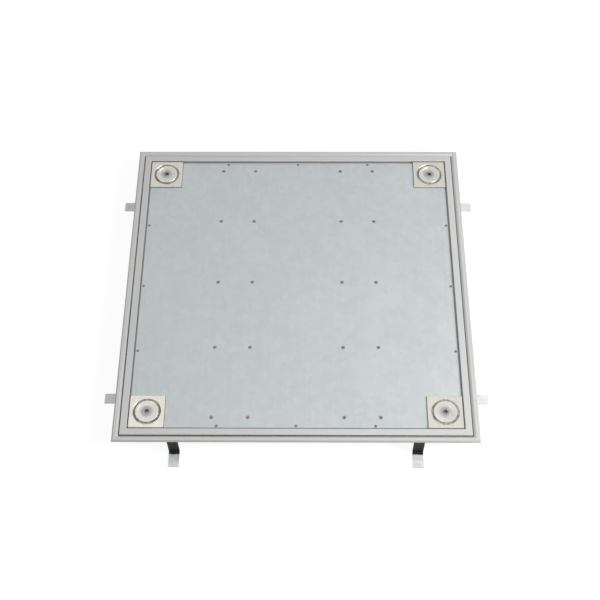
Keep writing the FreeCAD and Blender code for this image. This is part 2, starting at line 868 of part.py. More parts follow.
for item in doc.Objects:
    if "Invalid" in item.State or "Error" in item.State:
        raise RuntimeError(f"{item.Label} failed to build")
    if item.TypeId in ("PartDesign::Pocket", "PartDesign::Hole"):
        if item.Shape.Volume > item.BaseFeature.Shape.Volume - LEAST_CUT:
            raise RuntimeError(f"{item.Label} cuts nothing")
for node in nodes:
    if node.Shape.isNull() or not node.Shape.isValid():
        raise RuntimeError(f"{node.Label} has no sound shape")

os.makedirs("parts", exist_ok=True)
for node in nodes:
    node.Shape.exportStep(f"parts/{node.Label}.step")
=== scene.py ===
import math
import random

import bmesh
import bpy
from mathutils import Matrix, Vector


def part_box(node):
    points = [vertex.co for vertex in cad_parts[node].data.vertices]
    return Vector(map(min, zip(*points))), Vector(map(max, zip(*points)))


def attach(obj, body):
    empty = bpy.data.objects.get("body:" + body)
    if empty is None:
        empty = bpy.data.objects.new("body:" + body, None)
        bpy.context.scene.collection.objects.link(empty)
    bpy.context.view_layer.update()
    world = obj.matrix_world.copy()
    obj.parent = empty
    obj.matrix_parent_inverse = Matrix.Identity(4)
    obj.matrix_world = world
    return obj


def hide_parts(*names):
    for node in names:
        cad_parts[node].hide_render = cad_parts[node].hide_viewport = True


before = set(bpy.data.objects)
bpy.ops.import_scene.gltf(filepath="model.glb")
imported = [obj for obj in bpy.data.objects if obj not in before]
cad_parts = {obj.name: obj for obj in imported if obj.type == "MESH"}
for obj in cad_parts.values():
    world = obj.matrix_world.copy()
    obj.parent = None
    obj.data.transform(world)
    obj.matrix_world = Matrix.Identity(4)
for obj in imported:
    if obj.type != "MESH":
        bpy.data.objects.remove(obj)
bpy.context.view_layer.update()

# Floor access cover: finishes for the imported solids, detailed fasteners, floor, lamps and camera.
# Metres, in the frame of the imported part.

MM = 0.001
BODY = "root"
CHANCE = random.Random(7)

# Camera at the photograph's viewpoint, with its angles in degrees
CAMERA_PLACE = (0.0237, -1.1942, 1.9449)
CAMERA_TILT = 31.48
CAMERA_TURN = 0.86
CAMERA_ROLL = -0.65
CAMERA_LENS = 67.37
CAMERA_SENSOR = 36

# Light: an even white surround, a broad lamp at the front right and a wide, weak one above the rear
WHITE = (1, 1, 1)
SURROUND = 0.38
LAMPS = {
    "key_lamp": {"place": (1.35, -0.5, 1.15), "size": (0.9, 0.9), "power": 28},
    "top_lamp": {"place": (-0.3, 0.75, 2.35), "size": (1.5, 0.6), "power": 2.2},
}
FLOOR_SIZE = 40
FLOOR_DROP = 0.3 * MM
FLOOR_TONE = 0.25
FLOOR_GLOW = 0.88

# Sizes read from the frame
PART_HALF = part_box("frame_rail_front")[1].x
LOCK_PLACE = (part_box("lock_disc_rear_right")[0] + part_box("lock_disc_rear_right")[1]) / 2
PART_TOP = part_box("frame_rail_front")[1].z

# Painted shade on the lip's outer edge: where it starts and where it is full, inward from the outer edge
EDGE_SHADE_START = 3 * MM
EDGE_SHADE_FULL = 2 * MM

# Darkening round a lock bolt: where it is full and where it ends, from the bolt's axis
SOCKET_DARK_FULL = 5 * MM
SOCKET_DARK_END = 9.5 * MM

# Black leg of the anchor straps: where the black ends, outward from the edge of the lip, and how its edge
# frays
BLACK_LEG_END = 4 * MM
BLACK_LEG_FRAY = 0.6 * MM
BLACK_LEG_BLUR = 0.2 * MM

# Patterns of the finishes: repeats a metre, the same all ways or along each axis
DIE_LINES = {"x": (4, 900, 900), "y": (900, 4, 900)}
RAIL_SCUFFS = {"x": (260, 40, 200), "y": (40, 260, 200)}
RAIL_CLOUDS = 14
SHEET_CRYSTALS = 85
SHEET_STREAKS = (160, 5, 1)
SHEET_SMUDGES = (9, 6, 1)
SHEET_WIPES = (34, 9, 1)
CUTTER_MARKS = (1400, 30, 600)
CUTTER_ARCS = (60, 60, 60)
PLATE_TINTS = 260
PLATE_SPECKS = 1500
RUBBER_DUST = 90
RUBBER_SPECKS = 1600
STEEL_CRYSTALS = 140
STEEL_STAINS = 45
# the black on a strap's leg: how often its edge frays and how lumpy it is
BLACK_LEG_FRAYING = 420
BLACK_LEG_LUMPS = 700

# Marks on a lock disc: rings across its width, and rays round its axis that paint the fan of sheen on a
# turned face
DISC_RINGS = 120
DISC_SHEEN_RAYS = 60

# Noise gathers about its middle, so this span of it is stretched to the full range
NOISE_SPAN = (0.3, 0.7)
FULL_SPAN = (0.0, 1.0)

# Colours
SHEET_TONES = {
    "dark_crystal": (0.505, 0.542, 0.553),
    "pale_crystal": (0.55, 0.583, 0.588),
    "streak": (0.485, 0.522, 0.533),
    "smudge": (0.62, 0.64, 0.63),
    "wipe": (0.66, 0.67, 0.66),
    # painted shade in corners and gaps
    "hollow_shade": (0.09, 0.095, 0.09),
}
BLOCK_TONES = {"dark": (0.56, 0.55, 0.50), "pale": (0.68, 0.665, 0.61), "arc": (0.52, 0.515, 0.485)}
# The darker rays on a lock disc are painted sheen
DISC_TONES = {"dark": (0.58, 0.57, 0.53), "pale": (0.70, 0.69, 0.65), "sheen_ray": (0.42, 0.42, 0.395)}
STEEL_TONES = {
    "dark_crystal": (0.70, 0.735, 0.745),
    "pale_crystal": (0.82, 0.853, 0.862),
    "stain": (0.59, 0.62, 0.625),
}
# the black on a strap's leg
BLACK_LEG_TONES = ((0.004, 0.004, 0.004), (0.016, 0.016, 0.015))
# Painted shade in corners and gaps for the rails, the lock parts and the fasteners; the rail colour also
# paints the shade on the lip's outer edge, and the lock colour also darkens the discs and bolts towards
# the bolt's axis
RAIL_SHADE = (0.2, 0.2, 0.185)
LOCK_DARK_TONE = (0.07, 0.07, 0.06)
PLATE_SHADE = (0.03, 0.03, 0.03)
PLATE_SPECK = (0.2, 0.2, 0.2)

# Countersunk fasteners: the shank as a share of the head, the edge of the head, the length without
# thread below the head and at the end, the pitch, the end as a share of the shank, and steps round
SCREW = {
    "shank": 0.54,
    "top_inset": 0.25 * MM,
    "rim_inset": 0.1 * MM,
    "rim_drop": 0.06 * MM,
    "plain": 0.3 * MM,
    "tip": 1.2 * MM,
    "pitch": 1.2 * MM,
    "end": 0.25,
    "steps": 32,
}
BOLT = {
    "shank": 0.545,
    "top_inset": 0.5 * MM,
    "rim_inset": 0.15 * MM,
    "rim_drop": 0.12 * MM,
    "plain": 6 * MM,
    "tip": 1.2 * MM,
    "pitch": 1.75 * MM,
    "end": 0.7,
    "steps": 48,
}
THREAD_ROOT = 0.8

# Recesses: sizes as shares of the head, apart from the depth of the socket, and the narrowing to the floor
CROSS_REACH = 0.28
CROSS_HALF_WIDTH = 0.07
CROSS_DEPTH = 0.24
CROSS_TAPER = 0.45
SOCKET_WIDTH = 0.364
SOCKET_DEPTH = 5 * MM
SOCKET_TAPER = 0.98

# Lock nuts: bore as a share of the bolt's head, rounding of the corners, and chamfer of the bore
NUT_BORE = 0.55
NUT_RELIEF = 0.6
NUT_FACE = 0.97
NUT_ROUNDING = 4
NUT_CHAMFER = 0.6 * MM
NUT_STEPS = 72

# Blind rivets: rise of the head, diameter of the shank, the set tail, and shares for the pin and the tail
RIVET_RISE = 1.2 * MM
RIVET_SHANK = 4 * MM
RIVET_TAIL = 5.6 * MM
RIVET_TAIL_LENGTH = 2.6 * MM
RIVET_PIN = 0.5
RIVET_PIN_EDGE = ((1.0, 0.45), (1.1, 0.9), (1.25, 1.0))
RIVET_DOME = (0.55, 0.85, 1.1, 1.3, 1.45)
RIVET_SWELL = (0.25, 0.7)
RIVET_STEPS = 32

# Fasteners look smooth over edges up to this angle, in degrees
SMOOTH_ANGLE = 32


def add(tree, kind, inputs=None, **settings):
    """Add a shader node, set its options, and fill or link its inputs."""
    node = tree.nodes.new(f"ShaderNode{kind}")
    for name, value in settings.items():
        setattr(node, name, value)
    for name, value in (inputs or {}).items():
        if isinstance(value, bpy.types.NodeSocket):
            tree.links.new(value, node.inputs[name])
        else:
            node.inputs[name].default_value = value
    return node


def coordinates(tree, stretch=(1, 1, 1), source="Object"):
    """Position on the part, stretched by a factor along each axis."""
    place = add(tree, "TexCoord").outputs[source]
    return add(tree, "VectorMath", {0: place, 1: stretch}, operation="MULTIPLY").outputs[0]


def noise(tree, pattern, detail, roughness=0.5):
    """Soft random values from 0 to 1, with so many repeats a metre: one number, or one for each axis."""
    even = isinstance(pattern, int)
    inputs = {
        "Vector": coordinates(tree) if even else coordinates(tree, pattern),
        "Scale": pattern if even else 1.0,
        "Detail": detail,
        "Roughness": roughness,
    }
    return add(tree, "TexNoise", inputs).outputs["Fac"]


def line_noise(tree, value, repeats, detail):
    """Soft random values from 0 to 1 along one measure."""
    inputs = {"W": value, "Scale": repeats, "Detail": detail}
    return add(tree, "TexNoise", inputs, noise_dimensions="1D").outputs["Fac"]


def crystals(tree, repeats):
    """Zinc crystals: one random value from 0 to 1 for each."""
    cells = add(tree, "TexVoronoi", {"Vector": coordinates(tree), "Scale": repeats}, feature="F1")
    return add(tree, "SeparateColor", {0: cells.outputs["Color"]}).outputs[0]


def spread(tree, value, span, to=FULL_SPAN):
    """Bring values within a span to another span."""
    inputs = {"Value": value, "From Min": span[0], "From Max": span[1], "To Min": to[0], "To Max": to[1]}
    return add(tree, "MapRange", inputs).outputs["Result"]


def math_node(tree, operation, *values):
    """One arithmetic step on one or two values."""
    return add(tree, "Math", dict(enumerate(values)), operation=operation).outputs[0]


def length(tree, vector):
    """Length of a vector."""
    return add(tree, "VectorMath", {0: vector}, operation="LENGTH").outputs["Value"]


def blend(tree, amount, first, second):
    """Mix two colours, each a socket or a plain colour."""
    first, second = (x if isinstance(x, bpy.types.NodeSocket) else (*x, 1) for x in (first, second))
    return add(tree, "MixRGB", {"Fac": amount, "Color1": first, "Color2": second}).outputs["Color"]


def bump(tree, height, depth, strength):
    """Surface normals from a height between 0 and 1, with its real depth in metres."""
    return add(tree, "Bump", {"Height": height, "Distance": depth, "Strength": strength}).outputs["Normal"]


def shaded_in_hollows(tree, colour, hollow_shade, reach, span, most):
    """A colour with painted shade in corners and gaps, where less than the reach is open."""
    open_share = add(tree, "AmbientOcclusion", {"Distance": reach}, samples=8).outputs["AO"]
    closed_share = math_node(tree, "SUBTRACT", 1.0, open_share)
    return blend(tree, spread(tree, closed_share, span, to=(0.0, most)), colour, hollow_shade)


def from_middle_planes(tree):
    """Distances from the upright planes through the middle of the part, along x and along y."""
    axes = add(tree, "SeparateXYZ", {0: coordinates(tree)}).outputs
    return [math_node(tree, "ABSOLUTE", axes[axis]) for axis in ("X", "Y")]


def from_middle(tree):
    """Distance from the middle of the part, measured square to its sides."""
    return math_node(tree, "MAXIMUM", *from_middle_planes(tree))


def from_lock(tree):
    """Distance from the axis of the nearest lock bolt."""
    places = zip(from_middle_planes(tree), LOCK_PLACE)
    x, y = (math_node(tree, "SUBTRACT", value, lock) for value, lock in places)
    return length(tree, add(tree, "CombineXYZ", {"X": x, "Y": y}).outputs[0])


def start(name):
    """A new material's node tree."""
    material = bpy.data.materials.new(name)
    material.use_nodes = True
    return material.node_tree


def finish(name, colour, roughness, normal, metallic, specular=0.5, anisotropic=0.0, tangent=None):
    """Close a material: link what varies over the surface and set what doesn't."""
    tree = colour.id_data
    shader = tree.nodes["Principled BSDF"]
    tree.links.new(colour, shader.inputs["Base Color"])
    tree.links.new(roughness, shader.inputs["Roughness"])
    tree.links.new(normal, shader.inputs["Normal"])
    if isinstance(metallic, bpy.types.NodeSocket):
        tree.links.new(metallic, shader.inputs["Metallic"])
    else:
        shader.inputs["Metallic"].default_value = metallic
    shader.inputs["Specular IOR Level"].default_value = specular
    shader.inputs["Anisotropic"].default_value = anisotropic
    if tangent:
        tree.links.new(tangent, shader.inputs["Tangent"])
    return bpy.data.materials[name]


def extruded_aluminium(name, along, clean, worn, roughness, metallic, hollow_shade, edge_shade):
    """Drawn aluminium: die lines along the rail, faint clouds, painted shade in corners and gaps and on
    the lip's outer edge.
    """
    tree = start(name)
    lines = noise(tree, DIE_LINES[along], detail=4, roughness=0.6)
    clouds = noise(tree, RAIL_CLOUDS, detail=4)
    scuffs = noise(tree, RAIL_SCUFFS[along], detail=5)
    colour = blend(tree, spread(tree, lines, NOISE_SPAN), worn, clean)
    colour = blend(tree, spread(tree, clouds, (0.35, 0.7), to=(0.0, 0.35)), colour, worn)
    # painted shade in corners and gaps
    colour = shaded_in_hollows(tree, colour, RAIL_SHADE, reach=8 * MM, span=hollow_shade, most=0.45)
    # painted shade: a darker band along the outer edge of the lip
    edge = (PART_HALF - EDGE_SHADE_START, PART_HALF - EDGE_SHADE_FULL)
    colour = blend(tree, spread(tree, from_middle(tree), edge, to=(0.0, edge_shade)), colour, RAIL_SHADE)
    rough = math_node(tree, "ADD", spread(tree, lines, NOISE_SPAN, to=(-0.05, 0.06)), roughness)
    rough = math_node(tree, "ADD", rough, spread(tree, scuffs, (0.55, 0.75), to=(0.0, 0.12)))
    normal = bump(tree, lines, depth=0.02 * MM, strength=0.6)
    return finish(name, colour, rough, normal, metallic, specular=0.3)


def galvanised_sheet(name):
    """Hot-dip zinc on the tray floor: faint crystals, rolling streaks, wiped smudges."""
    tree = start(name)
    grain = crystals(tree, SHEET_CRYSTALS)
    streaks = noise(tree, SHEET_STREAKS, detail=4)
    smudges = noise(tree, SHEET_SMUDGES, detail=5, roughness=0.62)
    wipes = noise(tree, SHEET_WIPES, detail=4, roughness=0.7)
    tones = SHEET_TONES
    colour = blend(tree, grain, tones["dark_crystal"], tones["pale_crystal"])
    colour = blend(tree, spread(tree, streaks, (0.35, 0.75), to=(0.0, 0.35)), colour, tones["streak"])
    colour = blend(tree, spread(tree, smudges, (0.5, 0.75), to=(0.0, 0.3)), colour, tones["smudge"])
    colour = blend(tree, spread(tree, wipes, (0.6, 0.75), to=(0.0, 0.22)), colour, tones["wipe"])
    # painted shade in corners and gaps, which draws dark lines where the sheet meets the rims
    colour = shaded_in_hollows(tree, colour, tones["hollow_shade"], reach=7 * MM, span=(0.3, 0.9), most=0.7)
    rough = spread(tree, grain, FULL_SPAN, to=(0.44, 0.52))
    rough = math_node(tree, "ADD", rough, spread(tree, smudges, (0.45, 0.75), to=(0.0, 0.09)))
    height = math_node(tree, "ADD", math_node(tree, "MULTIPLY", grain, 0.3), streaks)
    normal = bump(tree, height, depth=0.02 * MM, strength=0.5)
    return finish(name, colour, rough, normal, metallic=0.4)


def machined_aluminium(name):
    """Milled corner blocks: pale, with close parallel cutter marks and wider arcs."""
    tree = start(name)
    cuts = noise(tree, CUTTER_MARKS, detail=3)
    arcs = noise(tree, CUTTER_ARCS, detail=5, roughness=0.65)
    colour = blend(tree, spread(tree, cuts, NOISE_SPAN), BLOCK_TONES["dark"], BLOCK_TONES["pale"])
    colour = blend(tree, spread(tree, arcs, (0.45, 0.75), to=(0.0, 0.4)), colour, BLOCK_TONES["arc"])
    # painted shade in corners and gaps
    colour = shaded_in_hollows(tree, colour, LOCK_DARK_TONE, reach=4 * MM, span=(0.35, 0.9), most=0.8)
    rough = spread(tree, cuts, NOISE_SPAN, to=(0.24, 0.34))
    rough = math_node(tree, "ADD", rough, spread(tree, arcs, (0.4, 0.8), to=(0.0, 0.08)))
    normal = bump(tree, cuts, depth=0.015 * MM, strength=0.6)
    return finish(name, colour, rough, normal, metallic=0.8)


def turned_aluminium(name):
    """Turned lock discs: fine rings about the bolt, painted sheen in rays that fan out from it, darker
    towards it.
    """
    tree = start(name)
    place = coordinates(tree, source="Generated")
    middle = add(tree, "VectorMath", {0: place, 1: (0.5, 0.5, 0)}, operation="SUBTRACT").outputs[0]
    flat = add(tree, "VectorMath", {0: middle, 1: (1, 1, 0)}, operation="MULTIPLY").outputs[0]
    radius = length(tree, flat)
    angle = add(tree, "TexGradient", {"Vector": flat}, gradient_type="RADIAL").outputs["Fac"]
    rings = line_noise(tree, radius, DISC_RINGS, detail=3)
    sheen_rays = line_noise(tree, angle, DISC_SHEEN_RAYS, detail=4)
    colour = blend(tree, spread(tree, rings, NOISE_SPAN), DISC_TONES["dark"], DISC_TONES["pale"])
    # painted sheen: a fan of darker rays from the axis stands in for the reflections of a turned face
    colour = blend(tree, spread(tree, sheen_rays, (0.5, 0.75), to=(0.0, 0.55)), colour, DISC_TONES["sheen_ray"])
    # darker towards the bolt in the middle of the disc
    colour = blend(tree, spread(tree, radius, (0.25, 0.38), to=(0.16, 0.0)), colour, LOCK_DARK_TONE)
    # painted shade in corners and gaps
    colour = shaded_in_hollows(tree, colour, LOCK_DARK_TONE, reach=4 * MM, span=(0.35, 0.9), most=0.8)
    rough = spread(tree, rings, NOISE_SPAN, to=(0.26, 0.4))
    normal = bump(tree, rings, depth=0.02 * MM, strength=0.5)
    tangent = add(tree, "Tangent", direction_type="RADIAL", axis="Z").outputs["Tangent"]
    return finish(name, colour, rough, normal, metallic=0.7, anisotropic=0.55, tangent=tangent)


def zinc_plate(name, pale, straw, darkened_round_socket):
    """Zinc plated fasteners: blue and straw tints, painted shade in the recesses, darker round a lock
    socket.
    """
    tree = start(name)
    tints = noise(tree, PLATE_TINTS, detail=3)
    specks = noise(tree, PLATE_SPECKS, detail=2)
    colour = blend(tree, spread(tree, tints, (0.35, 0.65)), pale, straw)
    if darkened_round_socket:
        # darker round the socket
        socket_dark = spread(tree, from_lock(tree), (SOCKET_DARK_FULL, SOCKET_DARK_END), to=(0.36, 0.0))
        colour = blend(tree, socket_dark, colour, LOCK_DARK_TONE)
    colour = blend(tree, spread(tree, specks, (0.6, 0.75), to=(0.0, 0.4)), colour, PLATE_SPECK)
    most = 0.7 if darkened_round_socket else 0.3
    # painted shade in the recesses
    colour = shaded_in_hollows(tree, colour, PLATE_SHADE, reach=2 * MM, span=(0.25, 0.8), most=most)
    rough = spread(tree, specks, NOISE_SPAN, to=(0.3, 0.45))
    normal = bump(tree, specks, depth=0.01 * MM, strength=0.4)
    return finish(name, colour, rough, normal, metallic=0.7)


def rubber(name, clean, dusty):
    """Rubber seal: matt, with a bloom of dust and moulding specks."""
    tree = start(name)
    dust = noise(tree, RUBBER_DUST, detail=5, roughness=0.7)
    specks = noise(tree, RUBBER_SPECKS, detail=2)
    colour = blend(tree, spread(tree, dust, (0.38, 0.62)), clean, dusty)
    rough = spread(tree, specks, NOISE_SPAN, to=(0.62, 0.82))
    normal = bump(tree, specks, depth=0.04 * MM, strength=0.6)
    return finish(name, colour, rough, normal, metallic=0.0, specular=0.3)


def galvanised_steel(name, black_leg):
    """Zinc on folded steel; on a strap, the leg is black out to just past the edge of the lip."""
    tree = start(name)
    grain = crystals(tree, STEEL_CRYSTALS)
    stains = noise(tree, STEEL_STAINS, detail=5, roughness=0.65)
    colour = blend(tree, grain, STEEL_TONES["dark_crystal"], STEEL_TONES["pale_crystal"])
    colour = blend(tree, spread(tree, stains, (0.5, 0.8), to=(0.0, 0.5)), colour, STEEL_TONES["stain"])
    rough = spread(tree, grain, FULL_SPAN, to=(0.36, 0.48))
    height = math_node(tree, "ADD", math_node(tree, "MULTIPLY", grain, 0.4), stains)
    metallic = 0.3
    if black_leg:
        # black on the leg, out to a frayed line just past the lip's edge
        fray = spread(tree, noise(tree, BLACK_LEG_FRAYING, detail=3), NOISE_SPAN, to=(-BLACK_LEG_FRAY, BLACK_LEG_FRAY))
        edge = math_node(tree, "ADD", from_middle(tree), fray)
        line = PART_HALF + BLACK_LEG_END
        black_share = spread(tree, edge, (line - BLACK_LEG_BLUR, line + BLACK_LEG_BLUR), to=(1.0, 0.0))
        lumps = noise(tree, BLACK_LEG_LUMPS, detail=4)
        colour = blend(tree, black_share, colour, blend(tree, lumps, *BLACK_LEG_TONES))
        rough = math_node(tree, "ADD", rough, math_node(tree, "MULTIPLY", black_share, 0.12))
        height = math_node(tree, "ADD", height, math_node(tree, "MULTIPLY", black_share, lumps))
        metallic = spread(tree, black_share, FULL_SPAN, to=(metallic, 0.0))
    normal = bump(tree, height, depth=0.05 * MM, strength=0.4)
    return finish(name, colour, rough, normal, metallic, specular=0.24)


# Frame and rim: the closeness over which painted shade comes into corners and gaps, and how strong the
# painted shade on the lip's outer edge is
FRAME_TONES = {
    "clean": (0.613, 0.617, 0.61),
    "worn": (0.533, 0.537, 0.53),
    "roughness": 0.42,
    "metallic": 0.35,
    "hollow_shade": (0.08, 0.45),
    "edge_shade": 0.25,
}
RIM_TONES = {
    "clean": (0.628, 0.634, 0.624),
    "worn": (0.548, 0.554, 0.544),
    "roughness": 0.38,
    "metallic": 0.25,
    "hollow_shade": (0.4, 0.95),
    "edge_shade": 0.0,
}
FINISHES = {
    "frame_x": extruded_aluminium("frame_aluminium_along_x", "x", **FRAME_TONES),
    "frame_y": extruded_aluminium("frame_aluminium_along_y", "y", **FRAME_TONES),
    "rim_x": extruded_aluminium("rim_aluminium_along_x", "x", **RIM_TONES),
    "rim_y": extruded_aluminium("rim_aluminium_along_y", "y", **RIM_TONES),
    "sheet": galvanised_sheet("galvanised_sheet_finish"),
    "milled": machined_aluminium("machined_aluminium_finish"),
    "turned": turned_aluminium("turned_aluminium_finish"),
    "zinc": zinc_plate("zinc_plate_finish", (0.265, 0.278, 0.295), (0.315, 0.318, 0.312), darkened_round_socket=False),
    "bolt": zinc_plate("socket_darkened_zinc_finish", (0.40, 0.405, 0.41), (0.46, 0.455, 0.42), darkened_round_socket=True),
    "seal": rubber("black_seal_finish", (0.012, 0.012, 0.012), (0.05, 0.048, 0.045)),
    "ring": rubber("dusty_ring_finish", (0.17, 0.165, 0.135), (0.50, 0.49, 0.43)),
    "strap": galvanised_steel("black_leg_strap_finish", black_leg=True),
    "folded": galvanised_steel("galvanised_steel_finish", black_leg=False),
}
LENGTHWISE = {"front": "x", "rear": "x", "left": "y", "right": "y"}


def finish_of(node):
    """The finish that a CAD node wears."""
    side = LENGTHWISE.get(node.rsplit("_", 1)[-1], "x")
    for start_of_name, key in (
        ("frame_rail", f"frame_{side}"),
        ("cover_rim", f"rim_{side}"),
        ("frame_corner_key", "frame_x"),
        ("tray_floor", "sheet"),
        ("corner_block", "milled"),
        ("lock_disc", "turned"),
        ("lock_ring", "ring"),
        ("frame_seal", "seal"),
        ("anchor_", "strap"),
        ("lock_bolts", "bolt"),
        ("stiffener_screws", "zinc"),
        ("stiffener", "folded"),
        ("frame_gusset", "folded"),
    ):
        if node.startswith(start_of_name):
            return FINISHES[key]
    return FINISHES["zinc"]


def dress_nodes():
    """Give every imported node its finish."""
    for name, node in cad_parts.items():
        for slot in node.material_slots:
            slot.material = finish_of(name)


def solids_of(node):
    """The lowest and highest corner of each separate solid in a CAD node."""
    mesh = bmesh.new()
    mesh.from_mesh(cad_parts[node].data)
    bmesh.ops.remove_doubles(mesh, verts=mesh.verts, dist=1e-6)
    waiting = set(mesh.verts)
    boxes = []
    while waiting:
        group = [waiting.pop()]
        for vertex in group:
            for edge in vertex.link_edges:
                other = edge.other_vert(vertex)
                if other in waiting:
                    waiting.remove(other)
                    group.append(other)
        low = Vector(min(v.co[i] for v in group) for i in range(3))
        high = Vector(max(v.co[i] for v in group) for i in range(3))
        boxes.append((low, high))
    mesh.free()
    return sorted(boxes, key=lambda box: tuple(round(value, 5) for value in box[0]))


def join_rings(mesh, lower, upper):
    """A band of faces between two rings of as many vertices."""
    count = len(lower)
    for index in range(count):
        after = (index + 1) % count
        mesh.faces.new((lower[index], lower[after], upper[after], upper[index]))


def lathe(mesh, outline, steps, shape=None):
    """Turn a half section about the upright axis, and give back its rings of vertices."""
    rings = []
    for radius, height in outline:
        ring = []
        for step in range(steps):
            angle = math.tau * step / steps
            reach = min(radius, shape(angle)) if shape else radius
            ring.append(mesh.verts.new((reach * math.cos(angle), reach * math.sin(angle), height)))
        rings.append(ring)
    for lower, upper in zip(rings, rings[1:]):
        join_rings(mesh, lower, upper)
    return rings


def ring_edges(mesh, ring):
    """The edges round a closed ring of vertices."""
    found = []
    for first, second in zip(ring, ring[1:] + ring[:1]):
        found.append(mesh.edges.get((first, second)) or mesh.edges.new((first, second)))
    return found


def recess(mesh, rim, outline, depth, taper):
    """Fill the top of a head round a recess of the given outline, and sink its walls and floor."""
    level = rim[0].co.z
    mouth = [mesh.verts.new((x, y, level)) for x, y in outline]
    floor = [mesh.verts.new((x * taper, y * taper, level - depth)) for x, y in outline]
    bmesh.ops.triangle_fill(mesh, edges=ring_edges(mesh, rim) + ring_edges(mesh, mouth), use_beauty=True)
    join_rings(mesh, mouth, floor)
    mesh.faces.new(floor)


def cross(reach, half_width):
    """Outline of a cross recess."""
    r, w = reach, half_width
    right_and_top = [(r, -w), (r, w), (w, w), (w, r), (-w, r), (-w, w)]
    return right_and_top + [(-x, -y) for x, y in right_and_top]


def hexagon(width):
    """Outline of a hexagon, given its width across flats."""
    corner = width / math.sqrt(3)
    return [(corner * math.cos(math.tau * i / 6), corner * math.sin(math.tau * i / 6)) for i in range(6)]


def thread(radius, high, low, pitch):
    """Half section of a screw thread, from high down to low."""
    root = radius * THREAD_ROOT
    turns = max(1, round((high - low) / pitch))
    step = (high - low) / turns
    points = []
    for turn in range(turns):
        points += [(root, high - step * turn), (radius, high - step * (turn + 0.5))]
    return points + [(root, low)]


def countersunk(head, length, form):
    """Countersunk fastener, top of the head at the origin and open, shank downward; and its top ring."""
    mesh = bmesh.new()
    rim = head / 2
    radius = head * form["shank"] / 2
    under = radius - rim
    outline = [(rim - form["top_inset"], 0), (rim - form["rim_inset"], -form["rim_drop"]), (radius, under)]
    outline += thread(radius, under - form["plain"], form["tip"] - length, form["pitch"])
    outline += [(radius * form["end"], -length)]
    rings = lathe(mesh, outline, form["steps"])
    mesh.faces.new(rings[-1])
    return mesh, rings[0]


def cross_screw(head, length):
    """Countersunk screw with a cross recess."""
    mesh, top = countersunk(head, length, SCREW)
    recess(mesh, top, cross(head * CROSS_REACH, head * CROSS_HALF_WIDTH), head * CROSS_DEPTH, CROSS_TAPER)
    return mesh


def socket_bolt(head, length):
    """Countersunk bolt with a hexagon socket."""
    mesh, top = countersunk(head, length, BOLT)
    recess(mesh, top, hexagon(head * SOCKET_WIDTH), SOCKET_DEPTH, SOCKET_TAPER)
    return mesh


def chamfered_nut(width, height, bore):
    """Hexagon nut with rounded-off corners, its top face at the origin."""
    mesh = bmesh.new()
    flat = width / 2
    corner = width / math.sqrt(3)
    relief = (corner - flat) * NUT_RELIEF

    def hexagon_reach(angle):
        return flat / math.cos((angle + math.pi / 6) % (math.pi / 3) - math.pi / 6)

    hole = bore / 2
    mouth = hole + NUT_CHAMFER
    face = flat * NUT_FACE
    parts = range(NUT_ROUNDING + 1)
    outline = [(hole, -height + NUT_CHAMFER), (mouth, -height), (face, -height)]
    outline += [
        (flat + (corner - flat) * i / NUT_ROUNDING, -height + relief * i / NUT_ROUNDING) for i in parts
    ]
    outline += [
        (corner - (corner - flat) * i / NUT_ROUNDING, -relief + relief * i / NUT_ROUNDING) for i in parts
    ]
    outline += [(face, 0), (mouth, 0), (hole, -NUT_CHAMFER)]
    rings = lathe(mesh, outline, NUT_STEPS, hexagon_reach)
    join_rings(mesh, rings[-1], rings[0])
    return mesh


def blind_rivet(head, length):
    """Blind rivet about the upright axis: domed head below the origin, set tail above."""
    mesh = bmesh.new()
    rim = head / 2
    rise = RIVET_RISE
    radius = RIVET_SHANK / 2
    pin = radius * RIVET_PIN
    end = length - rise
    grip = end - RIVET_TAIL_LENGTH
    outline = [(pin * across, -rise * up) for across, up in RIVET_PIN_EDGE]
    outline += [(rim * math.sin(a), -rise * math.cos(a)) for a in RIVET_DOME]
    outline += [(rim, 0), (radius, 0), (radius, grip)]
    outline += [(RIVET_TAIL / 2, grip + RIVET_TAIL_LENGTH * share) for share in RIVET_SWELL]
    outline += [(radius, end)]
    rings = lathe(mesh, outline, RIVET_STEPS)
    mesh.faces.new(rings[0])
    mesh.faces.new(rings[-1])
    return mesh


def fastener_group(name, node, pattern, rest, turned_by_chance=True):
    """One piece that stands for a CAD group: a copy of the pattern at every solid of the node."""
    group = bmesh.new()
    single = bpy.data.meshes.new(f"{name}_pattern")
    bmesh.ops.recalc_face_normals(pattern, faces=pattern.faces)
    pattern.to_mesh(single)
    pattern.free()
    for low, high in solids_of(node):
        copy = single.copy()
        spin = CHANCE.uniform(0, math.tau) if turned_by_chance else 0
        copy.transform(rest(low, high) @ Matrix.Rotation(spin, 4, "Z"))
        group.from_mesh(copy)
        bpy.data.meshes.remove(copy)
    mesh = bpy.data.meshes.new(name)
    group.to_mesh(mesh)
    group.free()
    bpy.data.meshes.remove(single)
    piece = bpy.data.objects.new(name, mesh)
    bpy.context.scene.collection.objects.link(piece)
    mesh.materials.append(finish_of(node))
    mesh.shade_smooth()
    mesh.set_sharp_from_angle(angle=math.radians(SMOOTH_ANGLE))
    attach(piece, BODY)
    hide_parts(node)


def head_up(low, high):
    """A fastener whose head looks up."""
    middle = (low + high) / 2
    return Matrix.Translation((middle.x, middle.y, high.z))


def head_down(low, high):
    """A fastener whose head looks down."""
    middle = (low + high) / 2
    return Matrix.Translation((middle.x, middle.y, low.z)) @ Matrix.Rotation(math.pi, 4, "X")


